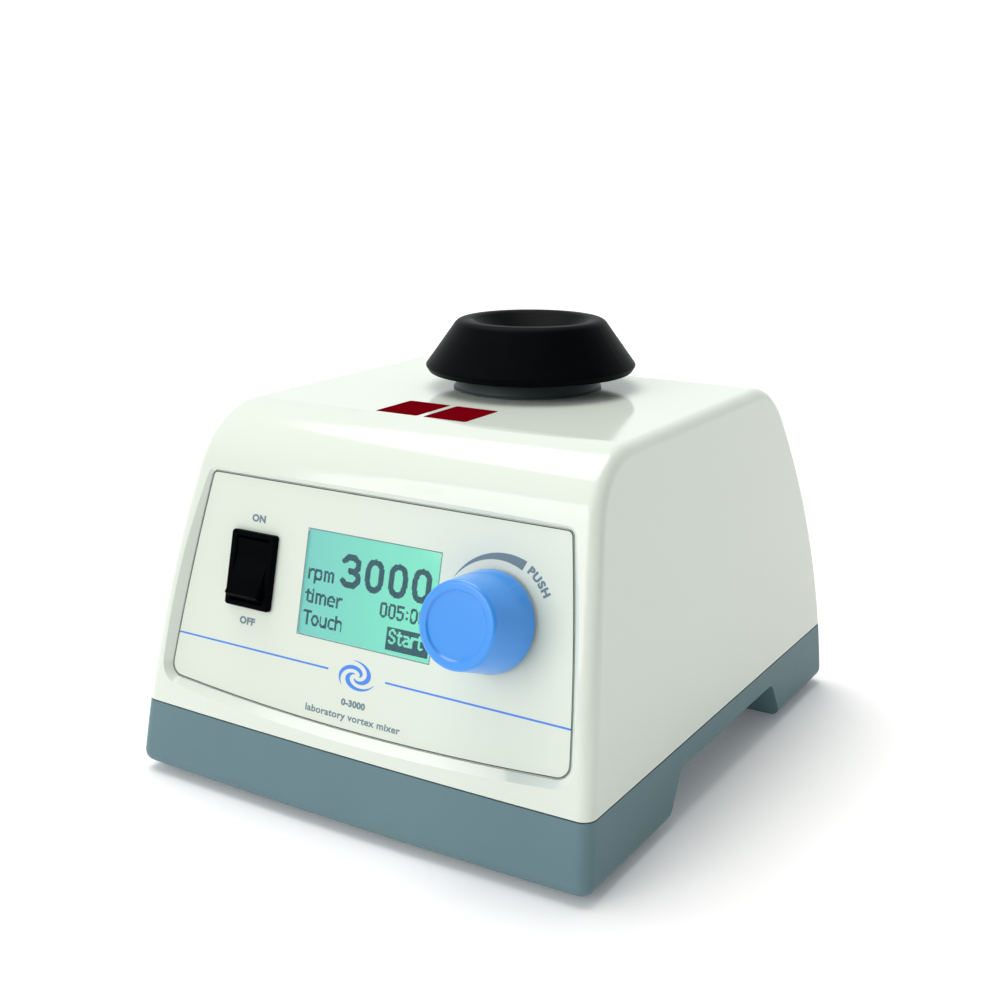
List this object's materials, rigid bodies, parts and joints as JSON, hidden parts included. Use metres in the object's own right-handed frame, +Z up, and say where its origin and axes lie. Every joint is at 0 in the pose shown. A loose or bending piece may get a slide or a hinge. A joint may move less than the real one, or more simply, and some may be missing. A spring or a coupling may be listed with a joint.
{
  "type": "vortex mixer",
  "caption": "Bench vortex mixer with a tapered casing, leaning control panel, display, rocker switch, push-turn knob and an orbiting rubber cup on top.",
  "frame": {"origin": "on the surface that the feet stand on, under the middle of the overall box", "axes": "+Z up, control panel facing -Y, +X to the right of someone facing the panel"},
  "size_m": [0.181, 0.2118, 0.154],
  "materials": {
    "casing_white": "glossy moulded plastic",
    "base_grey": "satin paint",
    "panel_film": "satin printed film",
    "clear_window": "clear",
    "lcd": "lit liquid crystal",
    "diffuser": "satin",
    "circuit_board": "satin",
    "chip_black": "matt",
    "switch_black": "satin",
    "inlet_black": "satin",
    "knob_blue": "satin",
    "window_red": "gloss",
    "clear_lamp": "clear",
    "dark_lamp": "gloss",
    "rubber_cup": "satin",
    "rubber_grey": "matt",
    "rubber_black": "matt",
    "carrier_grey": "satin",
    "nylon": "satin",
    "steel": "bright",
    "zinc_steel": "zinc plated",
    "core_steel": "laminated",
    "aluminium": "satin",
    "brass": "satin",
    "bronze": "sintered",
    "copper": "enamelled wire",
    "fuse_glass": "clear",
    "capacitor_sleeve": "satin",
    "lead_sleeve": "satin"
  },
  "bodies": {
    "housing": {"upper_housing": "casing_white", "base_housing": "base_grey", "rubber_feet": "rubber_black", "housing_screws": "steel", "front_panel": "panel_film", "display_window": "clear_window", "lcd_glass": "lcd", "lcd_frame": "steel", "lcd_backlight": "diffuser", "display_board": "circuit_board", "board_screws": "steel", "circuit_chips": "chip_black", "switch_body": "switch_black", "switch_terminals": "brass", "encoder_body": "aluminium", "encoder_nut": "steel", "encoder_washer": "steel", "sensor_window_left": "window_red", "sensor_window_right": "window_red", "sensor_board": "circuit_board", "infrared_emitter": "clear_lamp", "infrared_receiver": "dark_lamp", "motor_can": "steel", "motor_top_cap": "aluminium", "motor_rear_cap": "aluminium", "motor_bushes": "bronze", "stator_core": "core_steel", "stator_windings": "copper", "motor_screws": "steel", "motor_bracket": "zinc_steel", "motor_dampers": "rubber_black", "damper_screws": "steel", "collar": "rubber_grey", "power_inlet": "inlet_black", "inlet_pins": "brass", "fuse_holder": "inlet_black", "fuse": "fuse_glass", "power_board": "circuit_board", "board_posts": "nylon", "transformer": "core_steel", "capacitors": "capacitor_sleeve", "motor_board": "circuit_board", "heat_sink": "aluminium", "internal_leads": "lead_sleeve"},
    "drive": {"motor_shaft": "steel", "rotor_core": "core_steel", "eccentric_hub": "aluminium", "hub_set_screw": "steel", "counterweight": "brass", "eccentric_pin": "steel", "head_bearing_inner_ring": "steel", "head_bearing_balls": "steel"},
    "carrier": {"cup_carrier": "carrier_grey", "head_bearing_outer_ring": "steel"},
    "cup": {"rubber_cup": "rubber_cup"},
    "knob_rotor": {"encoder_rotor": "nylon"},
    "knob": {"control_knob": "knob_blue", "knob_sleeve": "brass", "encoder_spindle": "steel"},
    "rocker": {"rocker": "switch_black"}
  },
  "joints": [
    {"name": "motor_spin", "type": "hinge", "parent": "housing", "child": "drive", "pos_m": [0, 0.01735, 0.09], "axis": [0, 0, 1], "continuous": true},
    {"name": "head_orbit", "type": "hinge", "parent": "drive", "child": "carrier", "pos_m": [0, 0.0196, 0.1155], "axis": [0, 0, 1], "continuous": true},
    {"name": "cup_lift", "type": "slide", "parent": "carrier", "child": "cup", "axis": [0, 0, 1], "range_m": [0, 0.025]},
    {"name": "knob_turn", "type": "hinge", "parent": "housing", "child": "knob_rotor", "pos_m": [0.047, -0.08322, 0.07661], "axis": [0, -0.9713, 0.2377], "continuous": true},
    {"name": "knob_push", "type": "slide", "parent": "knob_rotor", "child": "knob", "axis": [0, 0.9713, -0.2377], "range_m": [0, 0.0006], "stiffness_N_per_m": 3000, "springref_m": -0.001},
    {"name": "power_rocker", "type": "hinge", "parent": "housing", "child": "rocker", "pos_m": [-0.0484, -0.08183, 0.07637], "axis": [1, 0, 0], "range_deg": [0, 22]}
  ],
  "couplings": [
    {"joint": "head_orbit", "follows": "motor_spin", "ratio": -1}
  ]
}
